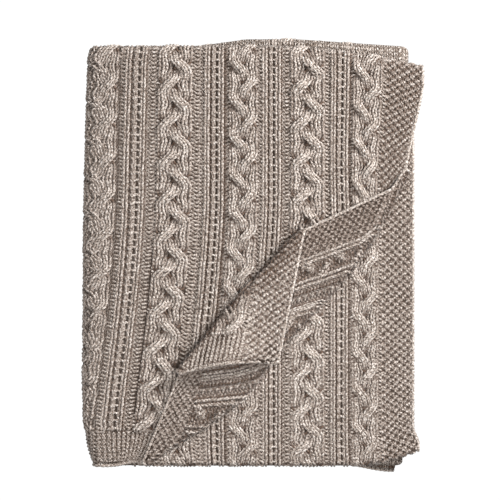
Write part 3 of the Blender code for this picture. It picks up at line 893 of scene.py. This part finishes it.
# Lays the yarn on the folded cloth, shades it and makes one piece of it
def yarnPiece(name, lines, keepOf, sides):
    u, v, out, raised, radius, shade, lump = lines
    s, _ = pleatPlace(u, v)
    top = v < topLength
    u = u * (1 + knit["flapStretch"] * smooth(s, innerStart + 0.010, innerEnd - 0.010) * top)
    strip = wrongSide(u, v)
    rough = strip * (u > sideBorder) * (v > borderTop)
    level = (out + 0.15 * raised) * (1 - 2 * strip)
    flat = leftFoldShare(u, v) * (u < leftTurn)
    onFlap = 1 - smooth(s, innerEnd - 0.030, innerEnd - 0.008)
    atFold = smooth(s, innerEnd - 0.026, innerEnd - 0.004) * (1 - smooth(s, innerStart, innerStart + 0.004))
    # Painted shade and light: the wrong-side strip darker, its bumps lighter and the hollows between them
    # darker, the flap lighter, its inner fold, the top layer's side border and the bottom fold darker
    shade = shade * (1 - strip) * (1 - flat) + shading["wrongSide"] * strip
    shade = shade + shading["wrongBumps"] * rough * (lump - shading["bumpMiddle"])
    shade = shade + (shading["flap"] * onFlap + shading["innerFold"] * atFold) * top
    shade = shade + shading["sideBorder"] * (u < sideBorder) * top
    shade = shade + shading["bottomFold"] * bottomFoldShare(v)
    # Painted shade: yarn that lies lower in the cloth is darker, yarn higher up lighter
    paintedLight = np.clip((level + shading["lowest"]) / shading["range"] + shade, 0, shading["most"])
    # Painted shade: the left fold gets one even mid lightness
    paintedLight = paintedLight * (1 - shading["leftFoldMix"] * flat) + shading["leftFold"] * flat
    radius = radius * (1 + yarn["flap"] * (s < innerEnd) * top)
    out = out + raised * raiseShare(u, v) - rough * lump * knit["wrongBumps"]
    centre = placed(u, v, out)
    centre[..., 2] = np.maximum(centre[..., 2], radius)
    # Painted shadow under the flap's knitted edge, on the wrong-side strip
    paintedLight = paintedLight * (1 - shading["flapShadow"] * strip * flapShadow(centre))
    thing = tubes(name, centre, upAt(u, v, out), radius, keepOf(u, v, centre), sides, paintedLight)
    print(name, len(thing.data.polygons) * 2, "triangles")
    return thing


def keepTop(u, v, centre):
    s, _ = pleatPlace(u, v)
    hidden = (s > outerStart + margins["pastOuterFold"]) & (v < topLength)
    hidden &= underPleat(centre[..., :2], margins["underPleat"])
    return ~hidden & (u + leaning(v) < leftTurn + margins["leftTurn"])


def keepSecond(u, v, centre):
    x = centre[..., 0]
    seen = (sideOfOuter(centre[..., :2]) > margins["secondSeen"]) & (x > margins["secondLeftX"])
    return (seen | (x > margins["secondRightX"])) & (u < aWidth)


def keepLower(u, v, centre):
    return (u > leftTurn - margins["leftTurn"]) & (u < cloth["width"])


def keepRightFold(u, v, centre):
    fold = (u > bWidth - margins["rightFold"]) & (u < rightTurn + margins["rightFold"])
    return fold | (u < margins["selvedge"])


# Numbers of the rows between two places along the length
def rowsBetween(start, end, before=0, after=0):
    return np.arange(int(start / knit["row"]) + before, int(end / knit["row"]) + after)


print("stage: yarn")
wholeSpan = (0, len(columns))
chartWidth = sum(part[2] for part in chart) * unit
firstEdge = borderRows(np.arange(0, knit["borderRows"]), chartWidth)
yarnPieces = [yarnPiece("knitEdge", firstEdge, keepTop, yarn["sides"])]
topRows = np.arange(knit["borderRows"], int(topLength / knit["row"]) + 5)
for number, rows in enumerate(np.array_split(topRows, 4), 1):
    yarnPieces.append(yarnPiece(f"knitTop{number}", fieldRows(rows, 0.0), keepTop, yarn["sides"]))
startRow = int(underLength / knit["row"]) - 1
secondRows = np.arange(startRow, startRow + int(knit["secondLength"] / knit["row"]))
for number, rows in enumerate(np.array_split(secondRows, 2), 1):
    lines = fieldRows(rows, knit["secondPhase"])
    yarnPieces.append(yarnPiece(f"knitSecond{number}", lines, keepSecond, yarn["sides"]))
topFold = fieldRows(rowsBetween(topLength, topTurn, -2, 2), 0.0, wholeSpan)
bottomRows = rowsBetween(underLength, bottomTurn, -2, 1)
bottomFold = fieldRows(bottomRows, knit["secondPhase"], wholeSpan)
lowerEdge = borderRows(np.arange(0, 3), cloth["width"])
rightFold = fieldRows(rowsBetween(topTurn, underLength, 1), knit["sidePhase"], wholeSpan)
for name, lines, keepOf in (
    ("knitTopFold", topFold, keepLower), ("knitBottomFold", bottomFold, keepLower),
    ("knitLowerEdge", lowerEdge, keepLower), ("knitRightFold", rightFold, keepRightFold),
):
    yarnPieces.append(yarnPiece(name, lines, keepOf, yarn["foldSides"]))


# The chain that runs along an edge
def edgeChain(name, u, v, paintedLight):
    bead = 1 + yarn["chainBead"] * np.sin(np.arange(len(u)) * math.pi / 2)
    radius = (yarn["chain"] * bead)[None]
    u, v, out = u[None], v[None], np.zeros((1, len(u)))
    keep, paintedLight = np.ones(u.shape, bool), np.full(u.shape, paintedLight)
    return tubes(name, placed(u, v, out), upAt(u, v, out), radius, keep, yarn["sides"], paintedLight)


chainStep, chainInset = 0.0014, 0.0004
alongV = np.arange(0.0, cloth["length"], chainStep)
alongU = np.arange(0.0, cloth["width"], chainStep)
selvedgeU, innerU = np.full_like(alongV, chainInset), np.full_like(alongV, cloth["width"] - chainInset)
# Painted light: the edge chains get a fixed painted lightness, lower on the first row
yarnPieces.append(edgeChain("selvedgeChain", selvedgeU, alongV, shading["chain"]))
yarnPieces.append(edgeChain("innerChain", innerU, alongV, shading["chain"]))
firstV = np.full_like(alongU, chainInset)
yarnPieces.append(edgeChain("firstRowChain", alongU, firstV, shading["firstRowChain"]))


# The thin cloth inside the yarn, whose dark colour is the painted shadow between the yarns
def frameLines():
    turns = 6
    marks = np.array(yMarks) * unit
    vMarks = np.concatenate([
        [0.0], marks - cloth["edgeY"], np.linspace(topLength, topTurn, turns + 1),
        topTurn + cloth["topFoldY"] - marks[::-1], np.linspace(underLength, bottomTurn, turns + 1),
        bottomTurn + marks[:-1] - cloth["bottomFoldY"], [cloth["length"]],
    ])
    lines = []
    for start, end in ((aWidth, leftTurn), (bWidth, rightTurn)):
        for w in np.linspace(start, end, turns + 1):
            lines.append(np.stack([w - leaning(vMarks) * (w < bWidth), vMarks], 1))
    uMarks = np.concatenate([
        np.linspace(0, aWidth - cloth["lean"], 7)[1:-1],
        np.linspace(leftTurn, bWidth, 7)[1:-1],
        np.linspace(rightTurn, cloth["width"], 6)[1:-1],
    ])
    return vMarks, uMarks, lines


def pleatLines():
    marks = list(np.linspace(outerStart, outerEnd, 7)) + list(np.linspace(innerStart, innerEnd, 7))
    marks += [outerEnd + (innerStart - outerEnd) * k for k in (0.07, 0.16, 0.3, 0.5, 0.75)]
    marks += [innerEnd * 0.66, innerEnd * 0.33]
    marks += [outerStart + pleat["settle"] * k for k in (0.33, 0.66, 1.0)]
    lines = []
    for s in marks:
        count = 3 + int(s / 0.022)
        u, v = flatPlace(np.full(count, s), np.linspace(0, 1, count))
        lines.append(np.stack([np.maximum(u, 0), np.maximum(v, 0)], 1))
    return lines


def triangulate(lines, extra):
    points, edges, known = [], [], {}

    def indexOf(point):
        key = (round(float(point[0]), 5), round(float(point[1]), 5))
        if key not in known:
            known[key] = len(points)
            points.append(key)
        return known[key]

    for line in lines:
        ids = [indexOf(point) for point in line]
        edges += [(a, b) for a, b in zip(ids, ids[1:]) if a != b]
    for point in extra:
        indexOf(point)
    found = delaunay_2d_cdt(points, edges, [], 0, 1e-7)
    flat = np.array([tuple(point) for point in found[0]])
    faces = np.array([tuple(face) for face in found[2]])
    a, b, c = flat[faces[:, 0]], flat[faces[:, 1]], flat[faces[:, 2]]
    area = (b[:, 0] - a[:, 0]) * (c[:, 1] - a[:, 1]) - (b[:, 1] - a[:, 1]) * (c[:, 0] - a[:, 0])
    faces = np.where((area < 0)[:, None], faces[:, ::-1], faces)
    return flat, faces[abs(area) > 1e-12]


def straight(values, at, alongU):
    values = np.unique(np.round(values, 5))
    fixed = np.full_like(values, at)
    return np.stack([values, fixed] if alongU else [fixed, values], 1)


def buildCore():
    vMarks, uMarks, folds = frameLines()
    pleats = pleatLines()
    acrossMarks = np.concatenate([[0.0], uMarks, [cloth["width"]]])
    pleatU = np.array([line[0, 0] for line in pleats])
    pleatV = np.array([line[-1, 1] for line in pleats])
    plainU = np.array([u for u in acrossMarks if abs(pleatU - u).min() > 0.006 or u == 0.0])
    alwaysV = (vMarks > topLength - 0.01) | (vMarks == 0.0)
    plainV = np.array([v for v, always in zip(vMarks, alwaysV) if always or abs(pleatV - v).min() > 0.006])
    foldU = np.array([line[0, 0] for line in folds])
    lines = folds + pleats
    lines.append(straight(np.concatenate([plainU, pleatU, foldU]), 0.0, True))
    farU = np.array([line[-1, 0] for line in folds])
    lines.append(straight(np.concatenate([acrossMarks, farU]), cloth["length"], True))
    lines.append(straight(np.concatenate([plainV, pleatV]), 0.0, False))
    lines.append(straight(vMarks, cloth["width"], False))
    grid = np.stack(np.meshgrid(uMarks, vMarks[1:-1]), -1).reshape(-1, 2)
    s, _ = pleatPlace(grid[:, 0], grid[:, 1])
    grid = grid[(s > outerStart + pleat["settle"] + 0.012) | (grid[:, 1] > topLength + 1e-6)]
    turns = (vMarks > topLength - 1e-6) & (vMarks < topTurn + 1e-6)
    turns |= (vMarks > underLength - 1e-6) & (vMarks < bottomTurn + 1e-6)
    for v in vMarks[turns]:
        foldAt = [np.interp(v, line[:, 1], line[:, 0]) for line in folds]
        lines.append(straight(np.concatenate([[0.0, cloth["width"]], uMarks, foldAt]), v, True))
    flat, faces = triangulate(lines, grid)
    u, v = np.clip(flat[:, 0], 0, cloth["width"]), np.clip(flat[:, 1], 0, cloth["length"])
    w = u + leaning(v)
    thin = (w < leftTurn + 1e-5) & ((v < topTurn + 1e-5) | (v > underLength - 1e-5))
    half = np.where(thin, cloth["core"] / 2, cloth["thick"] / 2)
    points = np.vstack([placed(u, v, half), placed(u, v, -half)])
    shift = len(flat)
    ends = np.concatenate([faces[:, [0, 1]], faces[:, [1, 2]], faces[:, [2, 0]]])
    ordered = {(a, b) for a, b in ends.tolist()}
    rim = np.array([(a, b) for a, b in ordered if (b, a) not in ordered])
    a, b = rim[:, 0], rim[:, 1]
    sides = [np.stack([a, b, b + shift], 1), np.stack([a, b + shift, a + shift], 1)]
    triangles = np.vstack([faces[:, ::-1], faces + shift] + sides)
    thing = newObject("blanketCloth", points, triangles, coreWool)
    both = np.tile(np.stack([u, v], 1), (2, 1))
    loops = np.empty(len(thing.data.loops), np.int32)
    thing.data.loops.foreach_get("vertex_index", loops)
    addUv(thing, "flatUv", both[loops])
    # Painted shadow: where yarn covers the core it keeps its dark colour, showing a little knit at the left
    # fold and the wrong side; elsewhere all its knit shows
    field = smooth(u, 0.5 * sideBorder, 1.2 * sideBorder) * smooth(v, 0.02, 0.06)
    shown = shading["bareWrongSide"] * field * wrongSide(u, v)
    bare = np.where(thin, np.maximum(shading["bareLeftFold"] * leftFoldShare(u, v), shown), 1.0)
    addValue(thing, "open", np.tile(bare, 2))
    return thing


print("stage: cloth")
blanketCloth = buildCore()
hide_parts("blanket")
for piece in yarnPieces + [blanketCloth]:
    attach(piece, "root")

# Floor, light and camera
print("stage: room")
size = room["floorSize"]
floorMesh = bpy.data.meshes.new("floor")
corners = [(-size, -size, 0), (size, -size, 0), (size, size, 0), (-size, size, 0)]
floorMesh.from_pydata(corners, [], [(0, 1, 2, 3)])
floor = bpy.data.objects.new("floor", floorMesh)
floor.location.z = -room["floorDrop"]
bpy.context.scene.collection.objects.link(floor)
white = bpy.data.materials.new("whiteFloor")
white.use_nodes = True
whiteNodes, whiteLinks = white.node_tree.nodes, white.node_tree.links
whiteNodes.clear()
glow, shown = whiteNodes.new("ShaderNodeEmission"), whiteNodes.new("ShaderNodeOutputMaterial")
calc = calculator(whiteNodes, whiteLinks)
seen = whiteNodes.new("ShaderNodeLightPath").outputs["Is Camera Ray"]
strength = calc("ADD", calc("MULTIPLY", seen, room["floorSeen"]), room["floorGlow"])
whiteLinks.new(strength, glow.inputs["Strength"])
whiteLinks.new(glow.outputs[0], shown.inputs["Surface"])
floorMesh.materials.append(white)

world = bpy.data.worlds.new("studio")
bpy.context.scene.world = world
world.use_nodes = True
world.node_tree.nodes["Background"].inputs["Color"].default_value = (1, 1, 1, 1)
world.node_tree.nodes["Background"].inputs["Strength"].default_value = room["sky"]

for name, place, size, watts in lights:
    light = bpy.data.lights.new(name, "AREA")
    light.shape, light.size, light.energy = "SQUARE", size, watts
    lamp = bpy.data.objects.new(name, light)
    lamp.location = place
    direction = Vector(room["aim"]) - Vector(place)
    lamp.rotation_euler = direction.to_track_quat("-Z", "Y").to_euler()
    bpy.context.scene.collection.objects.link(lamp)

camera = bpy.data.cameras.new("camera")
camera.lens = room["lens"]
cameraObject = bpy.data.objects.new("camera", camera)
away = room["sharpHeight"] + room["widthSeen"] / room["sensor"] * camera.lens
cameraObject.location = (*room["cameraPlan"], away)
bpy.context.scene.collection.objects.link(cameraObject)
bpy.context.scene.camera = cameraObject
bpy.context.scene.view_settings.view_transform = "Standard"
